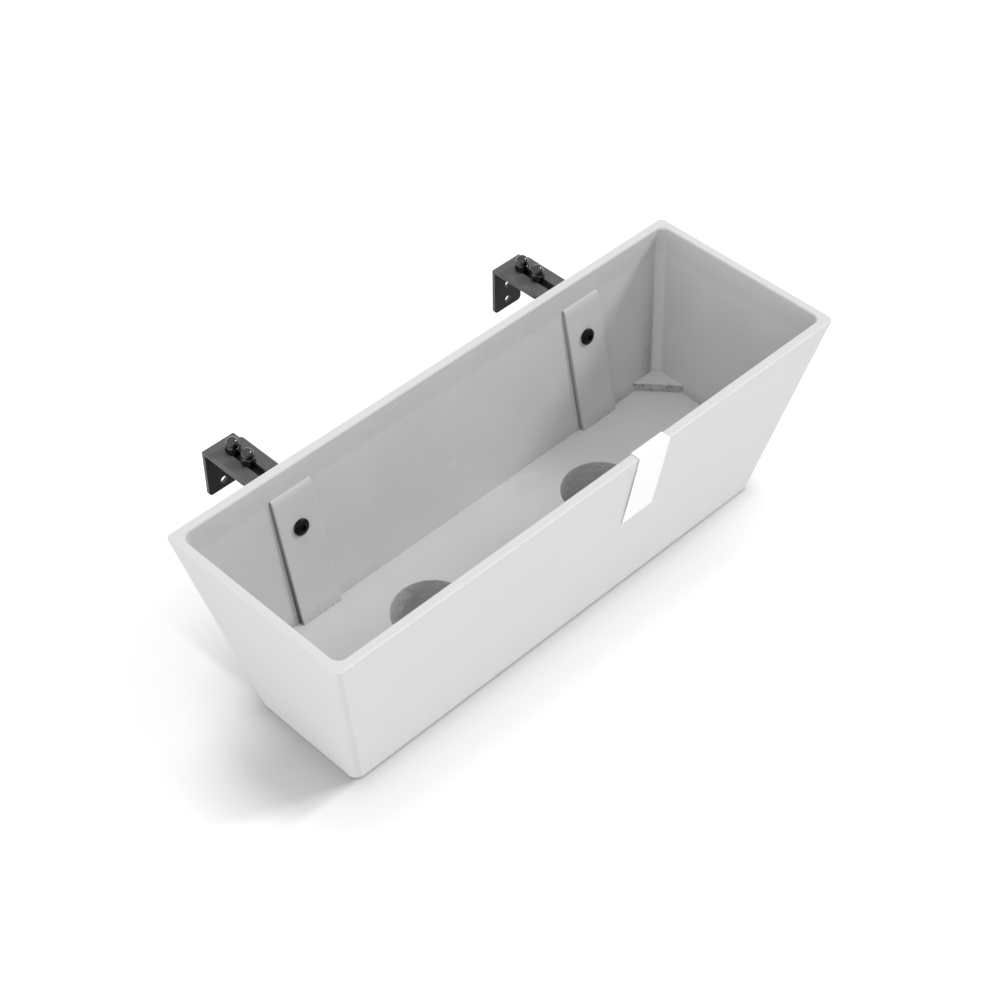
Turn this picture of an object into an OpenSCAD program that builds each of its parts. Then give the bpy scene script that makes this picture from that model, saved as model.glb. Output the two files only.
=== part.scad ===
// Hanging planter: a tapered trough on two adjustable railing brackets.
// Origin at the middle of the base's underside, +X along the length, +Y to the
// railing side, +Z up. Left is -X and right is +X.

/* [Trough] */
// Outer length at the rim
top_l = 600; // [480:5:900]
// Outer width at the rim
top_w = 211; // [190:1:280]
// Height from the base to the rim
height = 210; // [190:1:260]
// Outer length at the base
base_l = 511; // [420:1:800]
// Outer width at the base
base_w = 125; // [116:1:180]
// Wall thickness below the rim band, measured level
wall = 6; // [5:0.5:9]
// Wall thickness at the rim
rim_t = 9.4; // [8:0.1:14]
// Depth of the steeper band inside the rim
band_h = 26; // [20:1:32]
// Thickness of the base
base_t = 6; // [4:0.5:9]
// Outer corner radius at the rim
rim_corner_r = 5.5; // [3:0.5:12]
// Outer corner radius at the base
base_corner_r = 9; // [5:0.5:14]
// Corner radius of the inside
inner_corner_r = 9; // [4:0.5:14]
// Rounding of the rim's edges
rim_edge_r = 1.4; // [0.6:0.1:3]
// Rounding of the base's outer edge
base_edge_r = 3; // [1:0.5:5]

/* [Raised floor] */
// Height of the raised floor's top
floor_z = 56; // [40:1:80]
// Thickness of the raised floor
floor_t = 6; // [4:0.5:9]
// Radius of the drain wells
well_r = 37.5; // [25:0.5:40]
// Distance of each well from the middle of the length
well_x = 108; // [80:1:140]
// Offset of the wells from the middle of the width
well_y = -3; // [-6:0.5:4]
// Wall thickness of the well tubes
well_wall = 5; // [3:0.5:7]
// Radius of the drain hole under each well
drain_r = 6; // [4:0.5:9]
// Leg of the triangular corner blocks along the length
block_run = 29.5; // [20:0.5:45]
// Leg of the triangular corner blocks along the width
block_leg = 33.5; // [20:0.5:45]
// Height of the corner blocks above the floor
block_h = 9; // [6:0.5:16]

/* [Keyways and pads] */
// Distance of each bracket from the middle of the length
bracket_x = 177; // [150:1:200]
// Width of the raised pad inside the back wall
pad_w = 45; // [42:1:54]
// How far the pad stands in from the wall, measured level
pad_out = 3.5; // [3:0.5:8]
// Depth of the pad's top edge below the rim
pad_drop = 23; // [17:0.5:27]
// Depth of the wall screw below the rim
screw_drop = 61; // [54:0.5:66]

/* [Brackets] */
// Width of the bracket plates
plate_w = 35; // [28:1:38]
// Thickness of the bracket plates
plate_t = 3.5; // [3:0.5:5]
// Depth of the arm's top face below the rim
arm_drop = 29.5; // [27:0.5:36]
// Depth of the arm's flange along the back wall
arm_flange_h = 50; // [44:1:60]
// Gap for the railing between the rim and the hook's flange, fully out
rail_gap = 83; // [76:1:120]
// How far the hook slides in toward the trough
slide_travel = 30; // [10:1:30]
// Depth of the hook's flange below its top face
hook_flange_h = 53; // [42:1:70]
// Length of the hook's plate, with the flange
hook_l = 58; // [56:0.5:64]
// Distance of the outer slot screw from the flange's outer face
screw_back = 22.5; // [18:0.5:24]
// Distance between the two slot screws
screw_pitch = 20; // [17:0.5:22]
// Length of the arm past the outer slot screw
arm_end = 10; // [8:0.5:11]
// Corner radius of the arm's free end
arm_corner_r = 3; // [2:0.5:8]
// Corner radius of the other plate ends
plate_corner_r = 4; // [1:0.5:6]
// Outer radius of the bends
bend_r = 1.5; // [1.5:0.5:3]
// Inner radius of the bends
bend_in_r = 0.5; // [0.5:0.5:2]
// Distance of the lower flange hole from the flange's end
hole_edge = 9.5; // [7:0.5:10]
// Distance between the two flange holes
hole_pitch = 18.5; // [14:0.5:24]
// Radius of the two flange holes
flange_hole_r = 3.6; // [2.5:0.1:5]
// Radius of the round screw holes
hole_r = 4.5; // [4.2:0.1:5]

/* [Fasteners] */
// Thread diameter
thread_d = 8; // [6:0.5:8]
// Diameter of the button heads
head_d = 16; // [12:0.5:16]
// Height of the button heads
head_h = 4.4; // [3:0.1:5]
// Height of the straight rim of the button heads
head_rim = 1.4; // [0.5:0.1:2]
// Width across flats of the hex socket
socket_af = 5; // [4:0.5:6]
// Depth of the hex socket
socket_h = 2.6; // [2:0.1:3]
// Width across flats of the nuts
nut_af = 12; // [12:0.5:15]
// Height of the hexagon of the nuts
nut_h = 7; // [5:0.5:8]
// Total height of the dome nuts
dome_h = 15.5; // [14:0.5:18]
// Diameter of the dome
dome_d = 11.8; // [11:0.1:13]
// Length of thread held inside the dome nut
dome_grip = 10; // [8:0.5:11]
// Length of the wall screw's tip past its nut
tip_out = 2; // [1:0.5:4]

/* [Card tag] */
// Width of the card
tag_w = 38; // [30:1:50]
// Length of the card's outer flap, down the front
tag_l = 93; // [70:1:110]
// Length of the card's inner flap
tag_in = 17; // [10:1:18]
// Thickness of the card
tag_t = 0.5; // [0.3:0.1:1]
// Distance of the card from the middle of the length
tag_x = 59.5; // [-100:0.5:100]
// Sideways lean of the outer flap over its length
tag_lean = 3; // [0:0.5:6]

/* [Hidden] */

// Clearances
cut_over = 2;
fit_gap = 0.2;
slide_gap = 0.1;
groove_gap = 0.5;
slot_gap = 0.25;
thread_gap = 0.05;
card_gap = 0.25;
pad_root = 3;
corner_over = 20;

// Facets
corner_steps = 8;
edge_steps = 3;
arc_steps = 6;
round_fn = 48;

// Colours
stone_white = [0.86, 0.86, 0.86];
coated_steel = [0.20, 0.19, 0.20];
dark_chrome = [0.33, 0.31, 0.33];
black_oxide = [0.08, 0.08, 0.08];
card_white = [0.99, 0.99, 0.99];

// Derived levels of the brackets
arm_top = height - arm_drop;
arm_low = arm_top - plate_t;
hook_top = arm_low - slide_gap;
hook_low = hook_top - plate_t;
hook_end = hook_top - hook_flange_h;

// Derived distances toward the railing
flange_in = top_w / 2 + rail_gap;
flange_out = flange_in + plate_t;
outer_y = flange_out - screw_back;
inner_y = outer_y - screw_pitch;
hook_tail = flange_out - hook_l;
arm_tip = outer_y + arm_end;
slot_r = thread_d / 2 + slot_gap;
slot_in = inner_y - slide_travel;

// Lean of the back wall: level run per unit of height, and its angle
back_lean = (top_w - base_w) / 2 / height;
lean_angle = atan(back_lean);
groove_depth = plate_t / cos(lean_angle);

// Wall screw: point on the pad's face, and its grip through wall and flange
screw_z = height - screw_drop;
grip = (wall + pad_out - groove_depth) * cos(lean_angle) + plate_t + slide_gap;

// Outer half sizes of the trough at a height
function half_l(z) = base_l / 2 + (top_l - base_l) / 2 * z / height;
function half_w(z) = base_w / 2 + (top_w - base_w) / 2 * z / height;
function outer_r(z) = base_corner_r + (rim_corner_r - base_corner_r) * z / height;

// Level inset of the inside wall at a height: the band runs steeper
function inner_inset(z) =
    z < height - band_h ? wall : rim_t - (rim_t - wall) * (height - z) / band_h;

// Closed plan of a rounded rectangle at a height, as points in space
function plan(z, inset, r) =
    let (x = half_l(z) - inset - r, y = half_w(z) - inset - r)
    [for (q = [0 : 3]) for (i = [0 : corner_steps])
        let (a = 90 * q + 90 * i / corner_steps,
             sx = q == 0 || q == 3 ? 1 : -1,
             sy = q < 2 ? 1 : -1)
        [sx * x + r * cos(a), sy * y + r * sin(a), z]];

// Solid through a stack of plans
module loft(plans) {
    n = len(plans[0]);
    points = [for (p = plans) for (q = p) q];
    sides = [for (k = [0 : len(plans) - 2]) for (i = [0 : n - 1])
        let (a = k * n + i, b = k * n + (i + 1) % n)
        each [[a, a + n, b + n], [a, b + n, b]]];
    first = [for (i = [0 : n - 1]) i];
    last = [for (i = [n - 1 : -1 : 0]) (len(plans) - 1) * n + i];
    polyhedron(points, concat([first], sides, [last]));
}

// Outline with its corners rounded, one radius per point
function unit(v) = v / norm(v);
function turn(a) = a > 180 ? a - 360 : a < -180 ? a + 360 : a;
function rounded(p, r) = [for (i = [0 : len(p) - 1])
    let (u = unit(p[(i + len(p) - 1) % len(p)] - p[i]),
         v = unit(p[(i + 1) % len(p)] - p[i]),
         half = acos(u * v) / 2,
         c = p[i] + unit(u + v) * r[i] / sin(half),
         s = p[i] + u * r[i] / tan(half) - c,
         e = p[i] + v * r[i] / tan(half) - c,
         from = atan2(s[1], s[0]),
         sweep = turn(atan2(e[1], e[0]) - from))
    each (r[i] == 0 ? [p[i]] :
        [for (k = [0 : arc_steps])
            c + r[i] * [cos(from + sweep * k / arc_steps), sin(from + sweep * k / arc_steps)]])];

// Side outline, in Y and Z, drawn out over a width along X
module side_prism(outline, width) {
    rotate([90, 0, 90])
        translate([0, 0, -width / 2])
            linear_extrude(width)
                polygon(outline);
}

// Front outline, in X and Z, drawn out along Y from one place to another
module front_prism(outline, y_from, y_to) {
    translate([0, y_to, 0])
        rotate([90, 0, 0])
            linear_extrude(y_to - y_from)
                polygon(outline);
}

// Level of a line that follows the back wall, set in from its outer face
function back_y(z, inset) = half_w(z) - inset;

// Places its children at a wall screw's axis: +Z points out along the wall's normal
module at_wall_screw(side) {
    translate([side * bracket_x, back_y(screw_z, wall + pad_out), screw_z])
        rotate([-90 - lean_angle, 0, 0])
            children();
}

module trough_shell() {
    outer = concat(
        [for (i = [0 : edge_steps])
            let (a = 90 * i / edge_steps, in = base_edge_r * (1 - sin(a)),
                 z = base_edge_r * (1 - cos(a)))
            plan(z, in, outer_r(z) - in / 2)],
        [for (i = [0 : edge_steps])
            let (a = 90 * i / edge_steps, in = rim_edge_r * (1 - cos(a)),
                 z = height - rim_edge_r * (1 - sin(a)))
            plan(z, in, outer_r(z) - in)]);
    inner = concat(
        [for (i = [edge_steps : -1 : 0])
            let (a = 90 * i / edge_steps, z = height - rim_edge_r * (1 - sin(a)),
                 in = inner_inset(z) - rim_edge_r * (1 - cos(a)))
            plan(z, in, inner_corner_r)],
        [for (z = [height - band_h, base_t]) plan(z, wall, inner_corner_r)]);
    color(stone_white)
        difference() {
            union() {
                loft(concat(outer, inner));
                for (side = [-1, 1])
                    wall_pad(side, 0);
            }
            for (side = [-1, 1]) {
                keyway(side);
                at_wall_screw(side)
                    translate([0, 0, -cut_over])
                        cylinder(h = wall + pad_out + 2 * cut_over, r = hole_r, $fn = round_fn);
                translate([side * well_x, well_y, -cut_over])
                    cylinder(h = base_t + 2 * cut_over, r = drain_r, $fn = round_fn);
            }
        }
}

// Raised pad on the inside of the back wall, grown by a gap all round
module wall_pad(side, gap) {
    low = base_t - pad_root + gap;
    high = height - pad_drop;
    face = wall + pad_out + gap;
    root = wall - pad_root;
    translate([side * bracket_x, 0, 0])
        side_prism([[back_y(low, face), low], [back_y(low, root), low],
                    [back_y(high, root), high], [back_y(high, face), high]],
                   pad_w + 2 * gap);
}

// Open-bottomed groove in the back, which keeps the arm's flange square
module keyway(side) {
    low = -cut_over;
    high = arm_top + groove_gap;
    translate([side * bracket_x, 0, 0])
        side_prism([[back_y(low, groove_depth), low], [back_y(low, -cut_over), low],
                    [back_y(high, -cut_over), high], [back_y(high, groove_depth), high]],
                   plate_w + 2 * groove_gap);
}

module raised_floor() {
    low = floor_z - floor_t;
    high = floor_z + block_h;
    inset = wall + fit_gap;
    corner_x = half_l(floor_z) - wall;
    corner_y = half_w(floor_z) - wall;
    color(stone_white)
        difference() {
            intersection() {
                loft([for (z = [low, high]) plan(z, inset, inner_corner_r - fit_gap)]);
                union() {
                    translate([-corner_x - corner_over, -corner_y - corner_over, low])
                        cube([2 * (corner_x + corner_over), 2 * (corner_y + corner_over), floor_t]);
                    for (sx = [-1, 1])
                        for (sy = [-1, 1])
                            translate([0, 0, low])
                                linear_extrude(high - low)
                                    polygon([[sx * (corner_x + block_run),
                                              sy * (corner_y + block_leg)],
                                             [sx * (corner_x - 2 * block_run),
                                              sy * (corner_y + block_leg)],
                                             [sx * (corner_x + block_run),
                                              sy * (corner_y - 2 * block_leg)]]);
                }
            }
            for (side = [-1, 1]) {
                wall_pad(side, fit_gap);
                translate([side * well_x, well_y, low - cut_over])
                    cylinder(h = floor_t + 2 * cut_over, r = well_r, $fn = 2 * round_fn);
            }
        }
}

// Tube that carries the raised floor on the base and drains through it
module drain_well(side) {
    color(stone_white)
        translate([side * well_x, well_y, base_t])
            difference() {
                cylinder(h = floor_z - floor_t - base_t, r = well_r + well_wall,
                         $fn = 2 * round_fn);
                translate([0, 0, -cut_over])
                    cylinder(h = floor_z - floor_t - base_t + 2 * cut_over, r = well_r,
                             $fn = 2 * round_fn);
            }
}

module drain_well_left() {
    drain_well(-1);
}

module drain_well_right() {
    drain_well(1);
}

// Bent plate: a flange in the keyway and a slotted plate out to the hook
module arm(side) {
    seat = groove_depth - slide_gap;
    face = seat - plate_t / cos(lean_angle);
    low = arm_top - arm_flange_h * cos(lean_angle);
    profile = rounded(
        [[back_y(arm_top, seat), arm_top], [arm_tip, arm_top], [arm_tip, arm_low],
         [back_y(arm_low, face), arm_low], [back_y(low, face), low], [back_y(low, seat), low]],
        [bend_r, 0, 0, bend_in_r, 0, 0]);
    half = plate_w / 2;
    root_y = back_y(low, seat) - cut_over;
    top_plan = rounded(
        [[-half, root_y], [half, root_y], [half, arm_tip], [-half, arm_tip]],
        [0, 0, arm_corner_r, arm_corner_r]);
    front_face = rounded(
        [[-half, low], [half, low], [half, arm_top + cut_over], [-half, arm_top + cut_over]],
        [plate_corner_r, plate_corner_r, 0, 0]);
    color(coated_steel)
        difference() {
            translate([side * bracket_x, 0, 0])
                intersection() {
                    side_prism(profile, plate_w);
                    translate([0, 0, low - cut_over])
                        linear_extrude(arm_top - low + 2 * cut_over)
                            polygon(top_plan);
                    front_prism(front_face, root_y, arm_tip + cut_over);
                }
            translate([side * bracket_x, 0, arm_low - cut_over]) {
                for (y = [slot_in, outer_y])
                    translate([0, y, 0])
                        cylinder(h = plate_t + 2 * cut_over, r = slot_r, $fn = round_fn);
                translate([-slot_r, slot_in, 0])
                    cube([2 * slot_r, outer_y - slot_in, plate_t + 2 * cut_over]);
            }
            at_wall_screw(side)
                cylinder(h = grip + cut_over, r = hole_r, $fn = round_fn);
        }
}

module arm_left() {
    arm(-1);
}

module arm_right() {
    arm(1);
}

// Bent plate that slides under the arm and hooks down behind the railing
module hook(side) {
    profile = rounded(
        [[hook_tail, hook_top], [flange_out, hook_top], [flange_out, hook_end],
         [flange_in, hook_end], [flange_in, hook_low], [hook_tail, hook_low]],
        [0, bend_r, 0, 0, bend_in_r, 0]);
    half = plate_w / 2;
    top_plan = rounded(
        [[-half, hook_tail], [half, hook_tail], [half, flange_out], [-half, flange_out]],
        [plate_corner_r, plate_corner_r, 0, 0]);
    front_face = rounded(
        [[-half, hook_end], [half, hook_end], [half, hook_top], [-half, hook_top]],
        [plate_corner_r, plate_corner_r, 0, 0]);
    color(coated_steel)
        translate([side * bracket_x, 0, 0])
            difference() {
                intersection() {
                    side_prism(profile, plate_w);
                    translate([0, 0, hook_end - cut_over])
                        linear_extrude(hook_flange_h + 2 * cut_over)
                            polygon(top_plan);
                    front_prism(front_face, hook_tail - cut_over, flange_out + cut_over);
                }
                for (y = [inner_y, outer_y])
                    translate([0, y, hook_low - cut_over])
                        cylinder(h = plate_t + 2 * cut_over, r = hole_r, $fn = round_fn);
                for (z = [hook_end + hole_edge, hook_end + hole_edge + hole_pitch])
                    translate([0, flange_out + cut_over, z])
                        rotate([90, 0, 0])
                            cylinder(h = plate_t + 2 * cut_over, r = flange_hole_r, $fn = round_fn);
            }
}

module hook_left() {
    hook(-1);
}

module hook_right() {
    hook(1);
}

// Button head screw: the shank runs up from 0, the head hangs below it
module button_screw(length) {
    crown = head_h - head_rim;
    cap_r = (head_d * head_d / 4 + crown * crown) / (2 * crown);
    socket_r = socket_af / 2 / cos(30);
    difference() {
        union() {
            cylinder(h = length, r = thread_d / 2, $fn = round_fn);
            intersection() {
                translate([0, 0, cap_r - head_h])
                    sphere(r = cap_r, $fn = round_fn);
                translate([0, 0, -head_h])
                    cylinder(h = head_h, r = head_d / 2, $fn = round_fn);
            }
        }
        translate([0, 0, -head_h - cut_over])
            cylinder(h = socket_h + cut_over, r = socket_r, $fn = 6);
    }
}

// Hexagon with chamfered edges, standing up from 0
module hexagon() {
    corner = nut_af / 2 / cos(30);
    bevel = (corner - nut_af / 2) * tan(30);
    intersection() {
        cylinder(h = nut_h, r = corner, $fn = 6);
        rotate_extrude($fn = round_fn)
            polygon([[0, 0], [nut_af / 2, 0], [corner, bevel], [corner, nut_h - bevel],
                     [nut_af / 2, nut_h], [0, nut_h]]);
    }
}

module wall_screw(side) {
    color(black_oxide)
        at_wall_screw(side)
            button_screw(grip + nut_h + tip_out);
}

module wall_screw_left() {
    wall_screw(-1);
}

module wall_screw_right() {
    wall_screw(1);
}

module wall_nut(side) {
    color(black_oxide)
        at_wall_screw(side)
            translate([0, 0, grip])
                difference() {
                    hexagon();
                    translate([0, 0, -cut_over])
                        cylinder(h = nut_h + 2 * cut_over, r = thread_d / 2 + thread_gap,
                                 $fn = round_fn);
                }
}

module wall_nut_left() {
    wall_nut(-1);
}

module wall_nut_right() {
    wall_nut(1);
}

// Screw up through the hook's round hole and the arm's slot into a dome nut
module slot_screw(side, y) {
    color(black_oxide)
        translate([side * bracket_x, y, hook_low])
            button_screw(arm_top + slide_gap + dome_grip - hook_low);
}

module slot_screw_left_outer() {
    slot_screw(-1, outer_y);
}

module slot_screw_left_inner() {
    slot_screw(-1, inner_y);
}

module slot_screw_right_outer() {
    slot_screw(1, outer_y);
}

module slot_screw_right_inner() {
    slot_screw(1, inner_y);
}

// Domed cap nut on the arm's top face
module dome_nut(side, y) {
    color(dark_chrome)
        translate([side * bracket_x, y, arm_top + slide_gap])
            difference() {
                union() {
                    hexagon();
                    cylinder(h = dome_h - dome_d / 2, r = dome_d / 2, $fn = round_fn);
                    translate([0, 0, dome_h - dome_d / 2])
                        sphere(d = dome_d, $fn = round_fn);
                }
                translate([0, 0, -cut_over])
                    cylinder(h = dome_grip + fit_gap + cut_over, r = thread_d / 2 + thread_gap,
                             $fn = round_fn);
            }
}

module dome_nut_left_outer() {
    dome_nut(-1, outer_y);
}

module dome_nut_left_inner() {
    dome_nut(-1, inner_y);
}

module dome_nut_right_outer() {
    dome_nut(1, outer_y);
}

module dome_nut_right_inner() {
    dome_nut(1, inner_y);
}

// Blank card folded over the front rim: outer flap, strip over the rim, inner flap
module card_tag() {
    flap_low = height + card_gap - tag_l;
    over = height + card_gap;
    in_face = rim_t + card_gap;
    in_low = height - tag_in;
    strip = [[-half_w(over) - card_gap - tag_t, over],
             [-half_w(over) + in_face + tag_t, over],
             [-half_w(over) + in_face + tag_t, over + tag_t],
             [-half_w(over) - card_gap - tag_t, over + tag_t]];
    inner_flap = [[-half_w(in_low) + inner_inset(in_low) + card_gap, in_low],
                  [-half_w(in_low) + inner_inset(in_low) + card_gap + tag_t, in_low],
                  [-half_w(over) + in_face + tag_t, over + tag_t],
                  [-half_w(over) + in_face, over + tag_t]];
    flap = (tag_l + tag_t) / cos(lean_angle);
    face = [[-tag_w / 2 + tag_lean, 0], [tag_w / 2 + tag_lean, 0],
            [tag_w / 2, flap], [-tag_w / 2, flap]];
    color(card_white)
        translate([tag_x, 0, 0]) {
            side_prism(strip, tag_w);
            side_prism(inner_flap, tag_w);
            translate([0, -half_w(flap_low) - card_gap, flap_low])
                rotate([90 + lean_angle, 0, 0])
                    linear_extrude(tag_t)
                        polygon(face);
        }
}

trough_shell();
raised_floor();
drain_well_left();
drain_well_right();
arm_left();
arm_right();
hook_left();
hook_right();
wall_screw_left();
wall_screw_right();
wall_nut_left();
wall_nut_right();
slot_screw_left_outer();
slot_screw_left_inner();
slot_screw_right_outer();
slot_screw_right_inner();
dome_nut_left_outer();
dome_nut_left_inner();
dome_nut_right_outer();
dome_nut_right_inner();
card_tag();
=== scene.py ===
# Looks of a tapered railing planter, built around its fixed frame

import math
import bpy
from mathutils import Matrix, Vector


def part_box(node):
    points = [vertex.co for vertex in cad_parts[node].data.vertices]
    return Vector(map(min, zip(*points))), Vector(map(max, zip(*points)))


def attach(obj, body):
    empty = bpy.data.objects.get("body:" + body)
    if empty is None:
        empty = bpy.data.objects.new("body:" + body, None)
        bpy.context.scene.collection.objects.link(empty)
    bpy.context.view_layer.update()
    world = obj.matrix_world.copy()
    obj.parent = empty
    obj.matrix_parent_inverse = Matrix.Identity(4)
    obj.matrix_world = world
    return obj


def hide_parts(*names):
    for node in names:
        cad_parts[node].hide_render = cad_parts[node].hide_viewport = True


bl_info = {
    "name": "Railing planter",
    "version": (1, 0, 0),
    "blender": (4, 5, 0),
    "location": "3D View > Sidebar > Planter",
    "description": "Builds a moulded trough with its sliding steel hooks around a fixed frame",
    "category": "Object",
}

from functools import reduce

import bmesh
import bpy
import numpy as np
from mathutils import Matrix, Vector, noise
from mathutils.geometry import tessellate_polygon

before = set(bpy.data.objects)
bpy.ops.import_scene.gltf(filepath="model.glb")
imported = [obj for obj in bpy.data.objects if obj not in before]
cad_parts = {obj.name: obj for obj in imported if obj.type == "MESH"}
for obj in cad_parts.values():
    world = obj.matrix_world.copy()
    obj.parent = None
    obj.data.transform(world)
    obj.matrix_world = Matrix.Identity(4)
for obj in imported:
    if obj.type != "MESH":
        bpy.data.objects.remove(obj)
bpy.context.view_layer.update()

MM = 0.001
SIDES = ("left", "right")
BOTH_WAYS = (-1, 1)

# Fineness of the meshes
CORNER_STEPS = 12
END_STEPS = 6
LIP_STEPS = 6
RUN_STEPS = 8
WELL_COLUMNS, WELL_ROWS = 180, 60
BLOCK_COLUMNS, BLOCK_ROWS = 72, 14
DRAIN_COLUMNS = 48
TURNED_COLUMNS = 96
CARD_COLUMNS, CARD_ROWS = 12, 24
SMOOTH_ANGLE = math.radians(38)

# Places at which the walls have points besides those of their own shapes
BACK_COLUMNS = (0.0, 0.05, 0.1, 0.128, 0.143, 0.166, 0.177, 0.188, 0.211)
OUTER_LEVELS = (0.0045, 0.03, 0.08, 0.13, 0.2)
INNER_LEVELS = (0.03, 0.08, 0.1, 0.12, 0.15, 0.165, 0.178, 0.194, 0.2)

# Sections of edges: distance in from the edge in mm, share of the depth
PAD_SIDE = ((-5.0, 0.0), (-3.0, 0.0), (-1.4, 0.0), (-0.9, 0.0), (-0.6, -0.2), (-0.1, -0.2),
            (0.0, 0.0), (0.12, 0.6), (0.3, 0.86), (0.6, 0.965), (1.1, 1.0))
# Painted shade beside a pad's left side and over its rounded edge: distance in from the edge in mm,
# share of the painted shade
PAD_PAINTED_SHADE = ((-5.0, 0.0), (-3.0, 0.07), (-1.4, 0.24), (-0.9, 0.75), (-0.6, 0.95), (-0.1, 1.0),
             (0.0, 1.0), (0.12, 0.9), (0.3, 0.5), (0.6, 0.18), (1.1, 0.0))
PAD_TOP = ((0.0, 0.0), (0.3, 0.24), (1.0, 0.48), (2.2, 0.74), (4.0, 0.92), (6.0, 1.0))
GROOVE_EDGE = ((0.0, 0.0), (0.15, 1.0))

# Inner corner toward the railing: points round it with painted shade, and how much painted light
# lightens its rounding
CORNER_PAINTED_SHADE = {11: 0.08, 12: 0.26, 13: 0.08}
CORNER_PAINTED_LIGHT = 1.8

# Marks of a moulded point: how far it is inside, crusty, worn and lightened by painted light, and
# in painted shade
SMOOTH_INSIDE = (1.0, 0.0, 0.0, 0.0)

# Shade of the floor as the camera sees it: distance from the base, brightness
SHADE_FRONT = ((0.0, 0.50), (0.002, 0.70), (0.008, 0.78), (0.016, 0.86), (0.03, 0.91),
               (0.045, 0.935), (0.08, 1.05), (0.13, 1.2))
SHADE_END_FRONT = ((0.0, 0.57), (0.02, 0.67), (0.05, 0.73), (0.08, 0.97), (0.12, 1.22))
SHADE_END_BACK = ((0.0, 0.64), (0.012, 0.90), (0.03, 1.08), (0.07, 1.22))

# Fine shapes of the fasteners and the card
THREAD_DEPTH = 0.0006
TURNED_CORE = 0.0002
BORE_EASE = 0.00005
BORE_CHAMFER = 0.0005
DOME_BORE = 0.0102
SLOT_THREAD = 0.010
CARD_FOLD = 0.0009
CARD_BOW = 0.0005
FLOOR_DROP = -0.0002


# Properties

def length(label, text, mm):
    return bpy.props.FloatProperty(
        name=label, description=text, default=mm * MM, unit="LENGTH", subtype="DISTANCE")


def turn(label, text, degrees):
    return bpy.props.FloatProperty(
        name=label, description=text, default=math.radians(degrees), unit="ROTATION")


def strength(label, text, value):
    return bpy.props.FloatProperty(name=label, description=text, default=value)


def share(label, text, value):
    return bpy.props.FloatProperty(
        name=label, description=text, default=value, min=0.0, max=1.0, subtype="FACTOR")


def colour(label, text, rgb):
    return bpy.props.FloatVectorProperty(
        name=label, description=text, default=rgb, size=3, min=0.0, max=1.0, subtype="COLOR")


class PlanterTrough(bpy.types.PropertyGroup):
    top_length: length("Rim length", "Outer length at the rim", 600)
    top_width: length("Rim width", "Outer width at the rim", 211)
    height: length("Height", "From the floor to the rim", 210)
    base_length: length("Base length", "Outer length at the base", 511)
    base_width: length("Base width", "Outer width at the base", 125)
    wall: length("Wall", "Level thickness of the walls under the band", 6)
    rim: length("Rim thickness", "Level thickness of the rim", 9.4)
    band: length("Band height", "Height of the thickened band inside the rim", 26)
    band_fade: length("Band fade", "Half height of the soft change under the band", 1.6)
    base: length("Base thickness", "Thickness of the base", 6)
    rim_corner: length("Rim corner", "Outer corner radius at the rim", 5.5)
    base_corner: length("Base corner", "Outer corner radius at the base", 9)
    inner_corner: length("Inner corner", "Corner radius of the inside", 9)
    rim_edge: length("Rim edge", "Edge radius of the rim", 1.4)
    base_edge: length("Base edge", "Edge radius of the base", 3)
    pad_centre: length("Pad place", "Distance of the wall pads from the middle", 177)
    pad_width: length("Pad width", "Width of the wall pads", 45)
    pad_top_out: length("Pad depth at the top", "How far the pads stand out at the top", 2.7)
    pad_foot_out: length("Pad depth at the foot", "How far the pads stand out at the base", 5.6)
    pad_drop: length("Pad drop", "From the rim to the top of the wall pads", 23)
    groove_width: length("Groove width", "Width of the arms' grooves", 36)
    groove_depth: length("Groove depth", "Level depth of the arms' grooves", 3.57)
    groove_top: length("Groove top", "Height at which the grooves end", 181)
    tint: colour("Moulding colour", "Colour of the moulded trough", (0.700, 0.702, 0.702))
    mottle: share("Mottle", "Strength of the cloudy patches inside", 0.5)
    # Painted shade: the share by which the whole inside is darkened
    inside_painted_shade: share("Inside shade", "How much darker the coarser inside is", 0.13)


class PlanterFloor(bpy.types.PropertyGroup):
    level: length("Floor level", "Top of the raised floor", 56)
    thickness: length("Floor thickness", "Thickness of the raised floor", 6)
    block_run: length("Block run", "Length of the corner blocks along the long walls", 29.5)
    block_leg: length("Block leg", "Length of the corner blocks along the end walls", 33.5)
    block_height: length("Block height", "Height of the corner blocks over the floor", 9)
    well_radius: length("Well radius", "Radius of the drain wells", 37.5)
    well_place: length("Well place", "Distance of the wells from the middle", 108)
    well_shift: length("Well shift", "Distance of the wells toward the railing", -3)
    well_wall: length("Well wall", "Thickness of the wells' tubes", 5)
    drain_radius: length("Drain radius", "Radius of the drain holes", 6)
    lip: length("Lip", "Edge radius of the wells and blocks", 0.8)
    roughness: length("Relief", "Depth of the rough relief in the wells", 0.9)
    gap: length("Gap", "Clearance between the floor and the walls", 0.05)


class PlanterBracket(bpy.types.PropertyGroup):
    edge: length("Edge", "Edge radius of the plates", 0.13)
    plate: length("Plate", "Thickness of the plates", 3.5)
    plate_width: length("Plate width", "Width of the arms and hooks", 35)
    tint: colour("Coating colour", "Powder coat on the open faces", (0.112, 0.106, 0.108))
    # Painted shade: the colour and share painted on the faces in shade, toward the trough and
    # underneath
    deep: colour("Deep coating", "Powder coat on the sheltered faces", (0.007, 0.006, 0.006))
    inward_shade_share: share("Sheltered share", "How black the faces toward the trough are", 0.95)


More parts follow.
